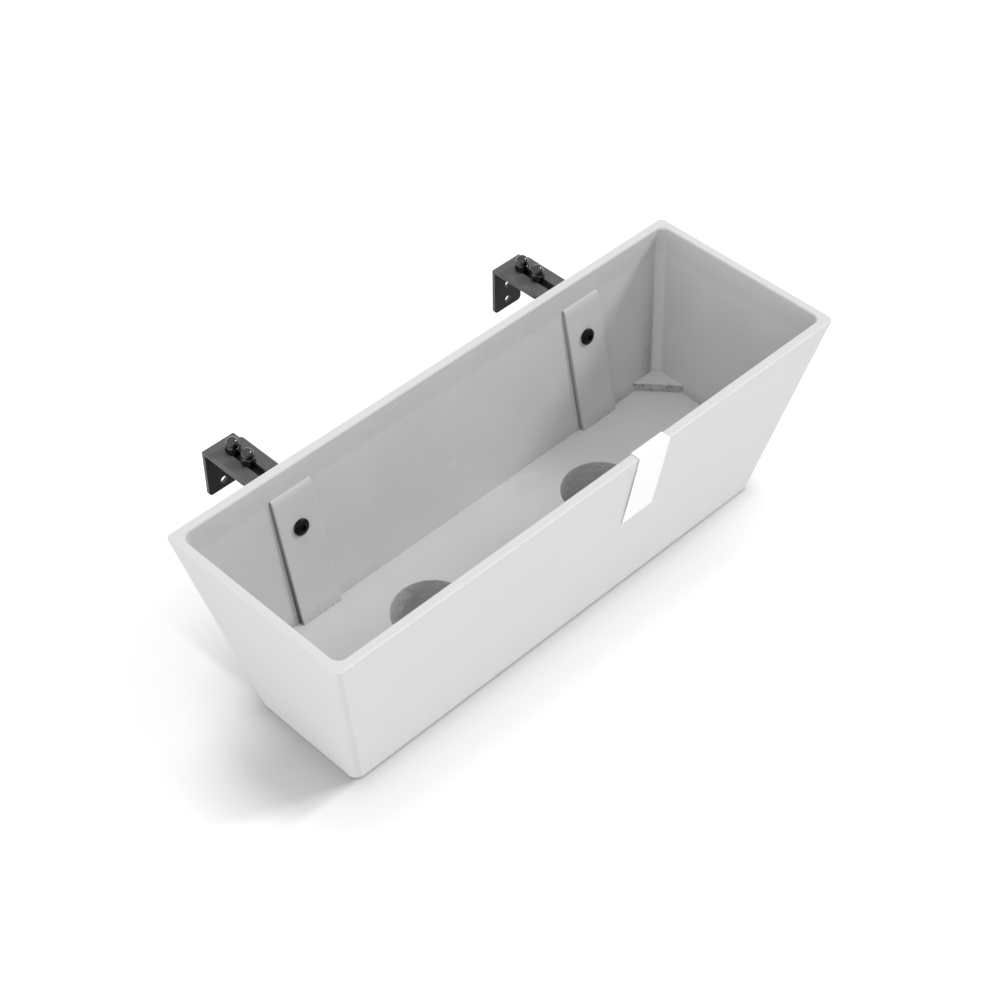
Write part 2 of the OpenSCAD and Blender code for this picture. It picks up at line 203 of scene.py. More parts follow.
class PlanterFastener(bpy.types.PropertyGroup):
    thread: length("Thread", "Thread diameter", 8)
    pitch: length("Thread pitch", "Rise of one turn of the thread", 1.25)
    head: length("Head", "Diameter of the button heads", 16)
    head_height: length("Head height", "Height of the button heads", 4.4)
    head_rim: length("Head rim", "Height of the straight rim of the button heads", 1.9)
    socket: length("Socket", "Width across flats of the sockets", 5)
    socket_depth: length("Socket depth", "Depth of the sockets", 2.6)
    nut: length("Nut", "Width across flats of the nuts", 12)
    nut_height: length("Nut height", "Height of the nuts' hexagon", 7)
    dome: length("Dome", "Diameter of the domes", 11.8)
    dome_height: length("Dome height", "Height of the dome nuts", 15.5)
    screw_level: length("Wall screw level", "Height of the wall screws", 149)
    washer_face: length("Grip allowance", "Plate under the wall nuts with its clearance", 3.6)
    plating: colour("Plating colour", "Colour of the plated nuts", (0.082, 0.077, 0.081))
    oxide: colour("Oxide colour", "Colour of the blackened screws", (0.004, 0.004, 0.0045))


class PlanterTag(bpy.types.PropertyGroup):
    width: length("Tag width", "Width of the card", 38)
    drop: length("Tag drop", "Length of the outer flap", 93)
    inner_drop: length("Inner flap", "Length of the inner flap", 17)
    thickness: length("Card thickness", "Thickness of the card", 0.5)
    place: length("Tag place", "Distance of the card from the middle", 59.5)
    lean: length("Lean", "Sideways lean of the outer flap over its length", 3)
    gap: length("Card gap", "Clearance between the card and the rim", 0.25)
    tint: colour("Card colour", "Colour of the card", (0.97, 0.97, 0.965))


class PlanterStage(bpy.types.PropertyGroup):
    eye: bpy.props.FloatVectorProperty(
        name="Eye", description="Place of the camera", subtype="TRANSLATION", unit="LENGTH",
        default=(-0.9766, -0.9736, 1.4835))
    bearing: turn("Bearing", "Compass turn of the view", -44.484)
    rise: turn("Rise", "Angle of the view above the horizon", 44.760)
    roll: turn("Roll", "Sideways lean of the camera", -0.314)
    lens: bpy.props.FloatProperty(
        name="Lens", description="Focal length", default=78.83, unit="CAMERA")
    floor_size: length("Floor size", "Side of the floor", 14000)
    floor_shown: strength("Shown floor", "Brightness of the floor as the camera sees it", 1.0)
    sky: strength("Sky", "Strength of the even light from all round", 0.353)
    sky_top: strength("Top light", "Strength of the soft light from straight above", 1.38)
    sky_sides: strength("Side light", "Strength of the low light from left and right", 3.48)
    key: strength("Key", "Strength of the key lamp", 1.23)
    key_bearing: turn("Key bearing", "Compass turn toward the key lamp from the X axis", -28)
    key_rise: turn("Key rise", "Angle of the key lamp above the horizon", 33)
    key_width: turn("Key width", "Angle that the key lamp fills", 12)


GROUPS = (
    ("planter_trough", PlanterTrough),
    ("planter_floor", PlanterFloor),
    ("planter_bracket", PlanterBracket),
    ("planter_fastener", PlanterFastener),
    ("planter_tag", PlanterTag),
    ("planter_stage", PlanterStage),
)


# Mesh helpers

def shade(mesh):
    mesh.shade_smooth()
    mesh.set_sharp_from_angle(angle=SMOOTH_ANGLE)


def finished(mesh, name, material=None):
    """A smooth-shaded object for a mesh, with its sharp edges kept and its place in its mesh."""
    mesh.validate()
    shade(mesh)
    obj = bpy.data.objects.new(name, mesh)
    bpy.context.scene.collection.objects.link(obj)
    if material is not None:
        mesh.materials.clear()
        mesh.materials.append(material)
    return obj


def mesh_object(name, points, faces, material=None):
    mesh = bpy.data.meshes.new(name)
    mesh.from_pydata([tuple(map(float, p)) for p in points], [], [tuple(f) for f in faces])
    return finished(mesh, name, material)


def face_outward(mesh, merge=0.0):
    """Turns the faces outward, after merging points that lie closer than the given distance."""
    bm = bmesh.new()
    bm.from_mesh(mesh)
    if merge:
        bmesh.ops.remove_doubles(bm, verts=bm.verts, dist=merge)
    bmesh.ops.recalc_face_normals(bm, faces=bm.faces)
    bm.to_mesh(mesh)
    bm.free()
    shade(mesh)


def evaluated_mesh(obj):
    """A plain mesh of the object with its modifiers made part of it."""
    graph = bpy.context.evaluated_depsgraph_get()
    graph.update()
    return bpy.data.meshes.new_from_object(obj.evaluated_get(graph), depsgraph=graph)


def keep_flats_flat(obj):
    """Weighs the shading normals by face area, so flats next to rounded edges stay flat."""
    weighted = obj.modifiers.new("flat_shading", "WEIGHTED_NORMAL")
    weighted.keep_sharp = True
    weighted.weight = 80


def strip(first, second, n):
    """Quads from one closed ring of n points to the next."""
    return [(first + i, first + (i + 1) % n, second + (i + 1) % n, second + i) for i in range(n)]


def level_fill(points, loops, facing_up):
    """Triangles that fill the first loop around the others, all in one level plane."""
    flat = [[Vector((*points[i][:2], 0)) for i in loop] for loop in loops]
    order = [i for loop in loops for i in loop]
    faces = []
    for tri in tessellate_polygon(flat):
        a, b, c = (order[i] for i in tri)
        (ax, ay), (bx, by), (cx, cy) = (points[i][:2] for i in (a, b, c))
        leftward = (bx - ax) * (cy - ay) > (by - ay) * (cx - ax)
        faces.append((a, b, c) if leftward == facing_up else (a, c, b))
    return faces


def arc(steps, quarter=0):
    """Angles at even steps over one quarter turn."""
    return [math.pi / 2 * (quarter + i / steps) for i in range(steps + 1)]


def circle(centre, radius, z, n):
    turns = (2 * math.pi * i / n for i in range(n))
    return [(centre[0] + radius * math.cos(a), centre[1] + radius * math.sin(a), z)
            for a in turns]


# Outline of the trough

def half_length(t, z):
    return t.base_length / 2 + (t.top_length - t.base_length) / 2 * z / t.height


def half_width(t, z):
    return t.base_width / 2 + (t.top_width - t.base_width) / 2 * z / t.height


def back_columns(t):
    """Places along the back and front at which every ring has a point, from right to left."""
    found = set(BACK_COLUMNS)
    for width, edge in ((t.pad_width, PAD_SIDE), (t.groove_width, GROOVE_EDGE)):
        for step, _ in edge:
            found |= {t.pad_centre + way * (width / 2 - step * MM) for way in BOTH_WAYS}
    right = sorted({round(x, 6) for x in found}, reverse=True)
    return right + [-x for x in reversed(right) if x > 0]


def edge_share(distance, edge):
    return float(np.interp(distance / MM, *zip(*edge)))


def ring(t, z, inset, radius, push):
    """Points around the trough at one height, from the right back corner to the left and on.
    push gives how far the back's points move toward the front at a place along X."""
    hx = half_length(t, z) - inset - radius
    hy = half_width(t, z) - inset - radius
    fixed = back_columns(t)
    reach = fixed[0]
    run = [reach + (hx - reach) * k / END_STEPS for k in range(END_STEPS - 1, 0, -1)]
    across = run + fixed + [-x for x in reversed(run)]
    down = [1 - 2 * k / RUN_STEPS for k in range(1, RUN_STEPS)]
    sides = ((1, 1, [(x, hy + radius - push(x), z) for x in across]),
             (-1, 1, [(-hx - radius, hy * s, z) for s in down]),
             (-1, -1, [(x, -hy - radius, z) for x in reversed(across)]),
             (1, -1, [(hx + radius, -hy * s, z) for s in down]))
    points = []
    for quarter, (sx, sy, side) in enumerate(sides):
        points += [(sx * hx + radius * math.cos(a), sy * hy + radius * math.sin(a), z)
                   for a in arc(CORNER_STEPS, quarter)]
        points += side
    return points


def inner_inset(t, z):
    """Level thickness of the wall at a height: the band under the rim fades in softly."""
    over, fade = z - (t.height - t.band), t.band_fade
    soft = min(max(over + fade, 0.0), 2 * fade) ** 2 / (4 * fade)
    return t.wall + (t.rim - t.wall) / t.band * (soft + max(over - fade, 0.0))


def pad_depth(t, z):
    """How far the faces of the wall pads stand out of the back wall at a height."""
    foot = t.height - t.pad_drop
    return t.pad_top_out + (t.pad_foot_out - t.pad_top_out) * (foot - z) / foot


def inside_side(t, x, width):
    """Distance in from the side of a pad or groove of this width, negative beside it."""
    return width / 2 - abs(abs(x) - t.pad_centre)


def pad_push(t, z, grown=0.0):
    """How far the pads stand out along X at a height, with the channels beside them."""
    rise = edge_share(t.height - t.pad_drop - z + grown, PAD_TOP) * pad_depth(t, z)

    def push(x):
        inside = inside_side(t, x, t.pad_width + 2 * grown)
        return edge_share(inside, PAD_SIDE) * rise + (grown if inside > 0 else 0.0)
    return push


def groove_push(t, z):
    """How deep the arms' grooves go into the back wall along X at a height."""
    rise = edge_share(t.groove_top - z, GROOVE_EDGE) * t.groove_depth
    return lambda x: edge_share(inside_side(t, x, t.groove_width), GROOVE_EDGE) * rise


def painted_shade(t, point):
    """How deep in the painted shadow beside a pad's left side a point inside lies, from 0 to 1:
    darker toward the bottom and fainter at the right pad.
    """
    x, y, z = point
    pad_top = t.height - t.pad_drop
    left = x < (-t.pad_centre if x < 0 else t.pad_centre)
    if y < 0 or z >= pad_top or not left:
        return 0.0
    depth = min(1.0, 0.5 + 0.55 * (pad_top - z) / pad_top) * (1.0 if x < 0 else 0.6)
    return edge_share(inside_side(t, x, t.pad_width), PAD_PAINTED_SHADE) * depth


# Turned and hexagonal shapes

def turned(name, rows, material):
    """A closed turned shape. Each row has a radius and a height; a third value cuts it to that
    hexagon, and a fourth is the height gained over one turn, as on a thread."""
    points, faces = [], []
    n = TURNED_COLUMNS
    for row in rows:
        radius, z, flats, pitch = (*row, None, None)[:4]
        for i in range(n):
            angle = 2 * math.pi * i / n
            to_flat = math.cos(angle % (math.pi / 3) - math.pi / 6)
            reach = min(radius, flats / 2 / to_flat) if flats else radius
            if pitch:
                reach -= abs(((z / pitch + i / n) % 1.0) * 2 - 1) * THREAD_DEPTH
            points.append((reach * math.cos(angle), reach * math.sin(angle), z))
    for k in range(len(rows) - 1):
        faces += strip(k * n, (k + 1) * n, n)
    faces += [tuple(reversed(range(n))), tuple(range(len(points) - n, len(points)))]
    obj = mesh_object(name, points, faces, material)
    face_outward(obj.data, merge=2e-6)
    return obj


# Node helpers

def rgba(rgb):
    return (*rgb[:3], 1.0)


class Nodes:
    """Short calls to fill a node tree."""

    def __init__(self, tree):
        self.tree = tree

    @classmethod
    def afresh(cls, owner):
        """For a new material or world, without the nodes that it comes with."""
        owner.use_nodes = True
        owner.node_tree.nodes.clear()
        return cls(owner.node_tree)

    def add(self, kind, inputs=None, output=None, **settings):
        """Adds a node and returns it, or the named output of it."""
        node = self.tree.nodes.new(kind)
        for key, value in settings.items():
            setattr(node, key, value)
        for key, value in (inputs or {}).items():
            self.feed(node.inputs[key], value)
        return node if output is None else node.outputs[output]

    def feed(self, socket, value):
        if isinstance(value, bpy.types.NodeSocket):
            self.tree.links.new(value, socket)
        else:
            socket.default_value = value

    def maths(self, operation, a, b=0.0, c=0.0):
        return self.add("ShaderNodeMath", {0: a, 1: b, 2: c}, 0, operation=operation)

    def minus(self, a, b):
        return self.maths("SUBTRACT", a, b)

    def size(self, value):
        return self.maths("ABSOLUTE", value)

    def times(self, *values):
        return reduce(lambda a, b: self.maths("MULTIPLY", a, b), values)

    def most(self, *values):
        return reduce(lambda a, b: self.maths("MAXIMUM", a, b), values)

    def plus(self, total, *terms):
        """The first value plus each term's value times its gain."""
        for value, gain in terms:
            total = self.maths("MULTIPLY_ADD", value, gain, total)
        return total

    def fade(self, value, low, high, to_low=0.0, to_high=1.0, smooth=False):
        return self.add("ShaderNodeMapRange",
                        {"Value": value, "From Min": low, "From Max": high,
                         "To Min": to_low, "To Max": to_high}, "Result",
                        interpolation_type="SMOOTHSTEP" if smooth else "LINEAR")

    def bend(self, value, points):
        """A result read off straight lines between points of a value and its result."""
        total = points[0][1]
        for (low, start), (high, end) in zip(points, points[1:]):
            total = self.maths("ADD", self.fade(value, low, high, 0.0, end - start), total)
        return total

    def mix(self, factor, a, b, **settings):
        return self.add("ShaderNodeMix", {"Factor": factor, "A": a, "B": b}, "Result", **settings)

    def blend(self, factor, a, b, mode="MIX"):
        return self.mix(factor, a, b, data_type="RGBA", blend_type=mode)

    def grey(self, value):
        return self.add("ShaderNodeCombineColor",
                        {"Red": value, "Green": value, "Blue": value}, "Color")

    def tinted(self, tint, tone):
        return self.blend(1.0, rgba(tint), self.grey(tone), "MULTIPLY")

    def attribute(self, name, output="Fac"):
        return self.add("ShaderNodeAttribute", output=output, attribute_name=name)

    def place(self):
        return self.add("ShaderNodeTexCoord", output="Object")

    def axes(self, vector):
        return self.add("ShaderNodeSeparateXYZ", {"Vector": vector}).outputs

    def seen(self):
        """1 for what the camera sees, also in mirrors and through glass."""
        path = self.add("ShaderNodeLightPath").outputs
        return self.most(path["Is Camera Ray"], path["Is Glossy Ray"], path["Is Transmission Ray"])


# Shared effects

def effect_group(name, inputs, outputs):
    """A shader node group with named float sockets in and out."""
    tree = bpy.data.node_groups.new(name, "ShaderNodeTree")
    for label, value in inputs:
        socket = tree.interface.new_socket(label, in_out="INPUT", socket_type="NodeSocketFloat")
        socket.default_value = value
    for label in outputs:
        tree.interface.new_socket(label, in_out="OUTPUT", socket_type="NodeSocketFloat")
    n = Nodes(tree)
    return tree, n, n.add("NodeGroupInput").outputs, n.add("NodeGroupOutput").inputs


def grain_effect():
    """Cloudy patches and fine grain of a moulded or coated surface."""
    tree, n, given, out = effect_group(
        "Surface grain", (("Patch scale", 14.0), ("Grain scale", 700.0), ("Seed", 0.0)),
        ("Patches", "Grain"))
    place = n.place()
    for label, scale, detail, roughness in (("Patches", "Patch scale", 5.0, 0.6),
                                            ("Grain", "Grain scale", 3.0, 0.7)):
        field = n.add("ShaderNodeTexNoise",
                      {"Vector": place, "Scale": given[scale], "Detail": detail,
                       "Roughness": roughness, "W": given["Seed"]}, "Fac", noise_dimensions="4D")
        n.feed(out[label], n.fade(field, 0.3, 0.7, -1.0, 1.0))
    return tree


def pit_effect():
    """Scattered small round pits, more of them where the density is higher."""
    tree, n, given, out = effect_group(
        "Pits", (("Cell scale", 160.0), ("Density", 0.1), ("Pit size", 0.25)), ("Pits",))
    place, scale = n.place(), given["Cell scale"]
    stir = n.add("ShaderNodeTexNoise", {"Vector": place, "Scale": scale, "Detail": 2.0}, "Color")
    shift = n.add("ShaderNodeVectorMath", {0: stir, 1: (0.5, 0.5, 0.5)}, "Vector",
                  operation="SUBTRACT")
    moved = n.add("ShaderNodeVectorMath", {0: shift, "Scale": n.maths("DIVIDE", 1.1, scale)},
                  "Vector", operation="SCALE")
    stirred = n.add("ShaderNodeVectorMath", {0: place, 1: moved}, "Vector", operation="ADD")
    cells = n.add("ShaderNodeTexVoronoi", {"Vector": stirred, "Scale": scale})
    chance = n.add("ShaderNodeSeparateColor", {"Color": cells.outputs["Color"]}).outputs
    chosen = n.maths("LESS_THAN", chance["Red"], given["Density"])
    size = n.most(n.times(chance["Green"], given["Pit size"]), 0.02)
    near = n.maths("DIVIDE", cells.outputs["Distance"], size)
    n.feed(out["Pits"], n.times(n.fade(near, 0.6, 1.0, 1.0, 0.0, smooth=True), chosen))
    return tree


def fleck_effect():
    """Short light flecks drawn out along the length, left by the moulding."""
    tree, n, given, out = effect_group(
        "Flecks", (("Fleck scale", 90.0), ("Stretch", 0.35), ("Rarity", 0.66)), ("Flecks",))
    place = n.axes(n.place())
    drawn = n.add("ShaderNodeCombineXYZ", {"X": n.times(place["X"], given["Stretch"]),
                                           "Y": n.times(place["Y"], given["Stretch"]),
                                           "Z": place["Z"]}, "Vector")
    field = n.add("ShaderNodeTexNoise", {"Vector": drawn, "Scale": given["Fleck scale"],
                                         "Detail": 2.0, "Distortion": 0.8}, "Fac")
    rarity = given["Rarity"]
    n.feed(out["Flecks"], n.fade(field, rarity, n.maths("ADD", rarity, 0.05), smooth=True))
    return tree


EFFECT_MAKERS = {"Surface grain": grain_effect, "Pits": pit_effect, "Flecks": fleck_effect}
EFFECTS = {}


def effect(n, name, **values):
    """Places a shared effect in a material with its own values."""
    if name not in EFFECTS:
        EFFECTS[name] = EFFECT_MAKERS[name]()
    node = n.add("ShaderNodeGroup", node_tree=EFFECTS[name])
    for key, value in values.items():
        n.feed(node.inputs[key.replace("_", " ").capitalize()], value)
    return node.outputs


# Materials

def new_material(name, viewport):
    material = bpy.data.materials.new(name)
    material.diffuse_color = rgba(viewport)
    n = Nodes.afresh(material)
    shader = n.add("ShaderNodeBsdfPrincipled")
    n.add("ShaderNodeOutputMaterial", {"Surface": shader.outputs["BSDF"]})
    return material, n, shader.inputs


def finish(n, surface, base, roughness, specular, relief, depth, amount):
    """Feeds a surface's colour, roughness and relief, and sets its specular level."""
    n.feed(surface["Base Color"], base)
    n.feed(surface["Roughness"], roughness)
    surface["Specular IOR Level"].default_value = specular
    n.feed(surface["Normal"], n.add(
        "ShaderNodeBump", {"Height": relief, "Distance": depth, "Strength": amount}, "Normal"))


def moulded_stone(scene):
    """Matte stone-like moulding. The mesh's inside attribute brings in painted shade, patches, pits
    and flow lines, and crust the coarser face of the wells, the blocks and the corners; other marks
    paint shade beside the pads, and light and shade round one inner corner."""
    t = scene.planter_trough
    material, n, surface = new_material("stone_white", t.tint)
    grain = effect(n, "Surface grain", patch_scale=16.0, grain_scale=650.0, seed=1.7)
    broad = effect(n, "Surface grain", patch_scale=5.0, grain_scale=160.0, seed=4.2)
    inside, crust, wear_and_light, painted_shades = (
        n.attribute(name) for name in ("inside", "crust", "wear_and_light", "painted_shade"))
    pits = n.times(effect(n, "Pits", cell_scale=190.0, density=0.05, pit_size=0.22)["Pits"], inside)
    holes = n.times(effect(n, "Pits", cell_scale=330.0, density=0.62, pit_size=0.75)["Pits"], crust)
    lines = n.times(effect(n, "Flecks", fleck_scale=110.0, stretch=0.30, rarity=0.665)["Flecks"],
                    inside)
    # Tone also takes the worn edges with painted light round one inner corner, and painted shade
    # over the whole inside
    tone = n.plus(1.0,
                  (grain["Patches"], n.plus(0.006, (inside, 0.035 * t.mottle))),
                  (broad["Patches"], n.plus(0.005, (inside, 0.03 * t.mottle))),
                  (grain["Grain"], 0.010), (wear_and_light, 0.035), (pits, -0.10), (lines, 0.03),
                  (holes, -0.27), (crust, -0.20), (inside, -t.inside_painted_shade))
    # Painted shade darkens the tone beside the pads' left sides and round the inner corner toward
    # the railing
    tone = n.times(tone, n.plus(1.0, (painted_shades, -0.85)))
    roughness = n.plus(0.74, (grain["Grain"], 0.05), (crust, 0.12))
    height = n.plus(0.0, (grain["Grain"], 0.10), (broad["Grain"], 0.14), (pits, -1.4),
                    (lines, 0.35), (holes, -1.3))
    finish(n, surface, n.tinted(t.tint, tone), roughness, 0.35, height, 0.00035, 0.55)
    return material


def powder_coat(scene):
    """Satin powder coat with fine orange peel, grey on the open faces and a little rubbed at the
    plate edges. Painted shade darkens the faces that look sideways and paints deep black on the
    undersides, toward the trough and on the hooks under the arms."""
    b = scene.planter_bracket
    material, n, surface = new_material("coated_steel", b.tint)
    grain = effect(n, "Surface grain", patch_scale=45.0, grain_scale=900.0, seed=2.1)
    place, facing = n.axes(n.place()), n.axes(n.attribute("facing", "Vector"))
    across = n.size(n.minus(n.size(place["X"]), scene.planter_trough.pad_centre))
    half = b.plate_width / 2
    rim = n.fade(across, half - 1.2 * MM, half - 0.3 * MM, smooth=True)
    rubbed = n.times(rim, n.fade(grain["Patches"], -0.5, 0.9, 0.25, 1.0))
    # Painted shade: faces that look sideways are darker
    sideways_shade = n.fade(n.size(facing["X"]), 0.6, 0.9)
    tone = n.plus(1.0, (grain["Patches"], 0.04), (grain["Grain"], 0.08), (rubbed, 0.16),
                  (sideways_shade, -0.26))
    # Painted shade: faces toward the trough, undersides and the hook tops under the arms are
    # painted black
    inward = n.fade(facing["Y"], -0.55, -0.85, smooth=True)
    underside_shade = n.fade(facing["Z"], -0.25, -0.6, smooth=True)
    arm_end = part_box("arm_left")[1]
    tucked_shade = n.times(n.fade(place["Y"], arm_end.y, arm_end.y - 0.4 * MM),
                     n.maths("LESS_THAN", place["Z"], arm_end.z - b.plate),
                     n.maths("GREATER_THAN", facing["Z"], 0.7))
    painted_black = n.most(n.times(inward, b.inward_shade_share), underside_shade, tucked_shade)
    base = n.blend(painted_black, n.tinted(b.tint, tone), rgba(b.deep))
    roughness = n.plus(0.42, (grain["Grain"], 0.06), (painted_black, 0.25))
    finish(n, surface, base, roughness, 0.26, grain["Grain"], 0.00012, 0.35)
    return material


def fine_finish(name, tint, scales, seed, patchy, grainy, rough, haze, specular, depth, amount,
                metallic=0.0):
    """A plain finish with faint patches and fine grain. haze names what its roughness varies
    with, and how much."""
    material, n, surface = new_material(name, tint)
    grain = effect(n, "Surface grain", patch_scale=scales[0], grain_scale=scales[1], seed=seed)
    tone = n.plus(1.0, (grain["Patches"], patchy), (grain["Grain"], grainy))
    surface["Metallic"].default_value = metallic
    finish(n, surface, n.tinted(tint, tone), n.plus(rough, (grain[haze[0]], haze[1])), specular,
           grain["Grain"], depth, amount)
    return material


def dark_plating(scene):
    """Dark bright plating with faint drawing marks and a little haze."""
    return fine_finish("dark_chrome", scene.planter_fastener.plating, scales=(160.0, 2400.0),
                       seed=3.3, patchy=0.10, grainy=0.0, rough=0.16, haze=("Patches", 0.04),
                       specular=0.5, depth=0.00005, amount=0.12, metallic=1.0)


def black_oxide(scene):
    """Oiled black oxide on steel screws, a little worn."""
    return fine_finish("black_oxide", scene.planter_fastener.oxide, scales=(220.0, 2000.0),
                       seed=5.9, patchy=0.25, grainy=0.0, rough=0.24, haze=("Patches", 0.05),
                       specular=0.16, depth=0.00004, amount=0.2)


def plain_card(scene):
    """Uncoated white card with a faint fibre."""
    return fine_finish("card", scene.planter_tag.tint, scales=(60.0, 1500.0), seed=7.4,
                       patchy=0.006, grainy=0.008, rough=0.85, haze=("Grain", 0.03),
                       specular=0.3, depth=0.00006, amount=0.2)


MATERIAL_MAKERS = {"stone_white": moulded_stone, "coated_steel": powder_coat,
                   "dark_chrome": dark_plating, "black_oxide": black_oxide, "card": plain_card}
MATERIALS = {}


def material_of(scene, name):
    """The named material, made the first time it is asked for."""
    if name not in MATERIALS:
        MATERIALS[name] = MATERIAL_MAKERS[name](scene)
    return MATERIALS[name]


# Geometry nodes for repeated fasteners

def fastener_row_tree():
    """Places a fastener at even steps, turned onto its axis and spun a little more each time."""
    tree = bpy.data.node_groups.new("Fastener row", "GeometryNodeTree")
    sockets = (("Geometry", "Geometry"), ("Fastener", "Object"), ("Count", "Int"),
               ("Start", "Vector"), ("Step", "Vector"), ("Lean", "Float"),
               ("First spin", "Float"), ("Spin step", "Float"), ("Material", "Material"))
    for label, kind in sockets:
        tree.interface.new_socket(label, in_out="INPUT", socket_type="NodeSocket" + kind)
    tree.interface.new_socket("Geometry", in_out="OUTPUT", socket_type="NodeSocketGeometry")
    n = Nodes(tree)
    given = n.add("NodeGroupInput").outputs
    row = n.add("GeometryNodeMeshLine",
                {"Count": given["Count"], "Start Location": given["Start"],
                 "Offset": given["Step"]}, "Mesh", mode="OFFSET")
    fastener = n.add("GeometryNodeObjectInfo",
                     {"Object": given["Fastener"], "As Instance": True}, "Geometry")
    lean = n.add("ShaderNodeCombineXYZ", {"X": given["Lean"]}, "Vector")
    placed = n.add("GeometryNodeInstanceOnPoints",
                   {"Points": row, "Instance": fastener, "Rotation": lean}, "Instances")
    index = n.add("GeometryNodeInputIndex", output="Index")
    spin = n.plus(given["First spin"], (index, given["Spin step"]))
    about = n.add("ShaderNodeCombineXYZ", {"Z": spin}, "Vector")
    spun = n.add("GeometryNodeRotateInstances",
                 {"Instances": placed, "Rotation": about, "Local Space": True}, "Instances")
    real = n.add("GeometryNodeRealizeInstances", {"Geometry": spun}, "Geometry")
    dressed = n.add("GeometryNodeSetMaterial",
                    {"Geometry": real, "Material": given["Material"]}, "Geometry")
    n.add("NodeGroupOutput", {"Geometry": dressed})
    return tree


def fastener_row(name, tree, **values):
    """Runs the row tree on an empty mesh and returns its result as a plain mesh object."""
    source = bpy.data.objects.new(name + "_source", bpy.data.meshes.new(name + "_source"))
    bpy.context.scene.collection.objects.link(source)
    modifier = source.modifiers.new("row", "NODES")
    modifier.node_group = tree
    sockets = {item.name: item.identifier for item in tree.interface.items_tree
               if item.item_type == "SOCKET" and item.in_out == "INPUT"}
    for key, value in values.items():
        modifier[sockets[key.replace("_", " ").capitalize()]] = value
    mesh = evaluated_mesh(source)
    bpy.data.objects.remove(source)
    mesh.name = name
    return finished(mesh, name)


# Moulded pieces

def moulding(scene, name, points, faces, marks, turn_faces=False):
    """A stone-like piece with a tuple of marks for each point."""
    piece = mesh_object(name, points, faces, material_of(scene, "stone_white"))
    if turn_faces:
        face_outward(piece.data)
    for label, values in zip(("inside", "crust", "wear_and_light", "painted_shade"), zip(*marks)):
        layer = piece.data.attributes.new(label, "FLOAT", "POINT")
        layer.data.foreach_set("value", np.asarray(values, np.float32))
    keep_flats_flat(piece)
    return piece


def wall_crust(t, level, point):
    """How crusty the inside wall is at a point, from 0 to 1: near the corners and just over the
    raised floor."""
    x, y, z = point
    along = half_length(t, z) - t.wall - abs(x)
    across = half_width(t, z) - t.wall - abs(y)
    over = (z - level) / MM
    to_corner = np.interp(along / MM, (5, 9, 13, 28), (0.0, 1.0, 0.9, 0.0)) * (along > across)
    low_down = np.interp(over, (0, 25, 95), (1.0, 0.8, 0.0))
    foot = np.interp(over, (-2, 4, 12), (0.8, 0.5, 0.0))
    outward = np.interp(abs(x) / MM, (60, 150, 215), (0.1, 0.5, 1.0))
    return float(max(to_corner * low_down, foot * outward)) if over > -10 else 0.0


def shell_rows(t, f):
    """Rows of the shell's wall, from the base up outside and down inside: height, inset, whether
    inside, wear."""
    lip = arc(LIP_STEPS)
    top, edge, beside = t.height, t.rim_edge, 1.2 * MM
    rows = [(t.base_edge * (1 - math.cos(a)), t.base_edge * (1 - math.sin(a)), False,
             1.0 if a in lip[1:-1] else 0.0) for a in lip]
    levels = {*OUTER_LEVELS, top - edge - beside}
    levels |= {t.groove_top + step * MM for step in (-2, -0.15, 0, 2)}
    rows += [(z, 0.0, False, 0.0) for z in sorted(levels)]
    rows += [(top - edge * (1 - math.sin(a)), edge * (1 - math.cos(a)), False, 1.0) for a in lip]
    rows += [(top, edge + beside, False, 0.0), (top, t.rim - edge - beside, True, 0.0)]
    for a in reversed(lip):
        z = top - edge * (1 - math.sin(a))
        rows.append((z, inner_inset(t, z) - edge * (1 - math.cos(a)), True, 1.0))
    band_low, pad_top = top - t.band, top - t.pad_drop
    levels = {*INNER_LEVELS, top - edge - beside, pad_top + 2 * MM,
              band_low + 3 * t.band_fade, t.base}
    levels |= {f.level + step * MM for step in (-4, 0, 2, 4, 8, 12)}
    levels |= {band_low + t.band_fade * k / 4 for k in range(-4, 5)}
    levels |= {pad_top - step * MM for step, _ in PAD_TOP}
    return rows + [(z, inner_inset(t, z), True, 0.0) for z in sorted(levels, reverse=True)]


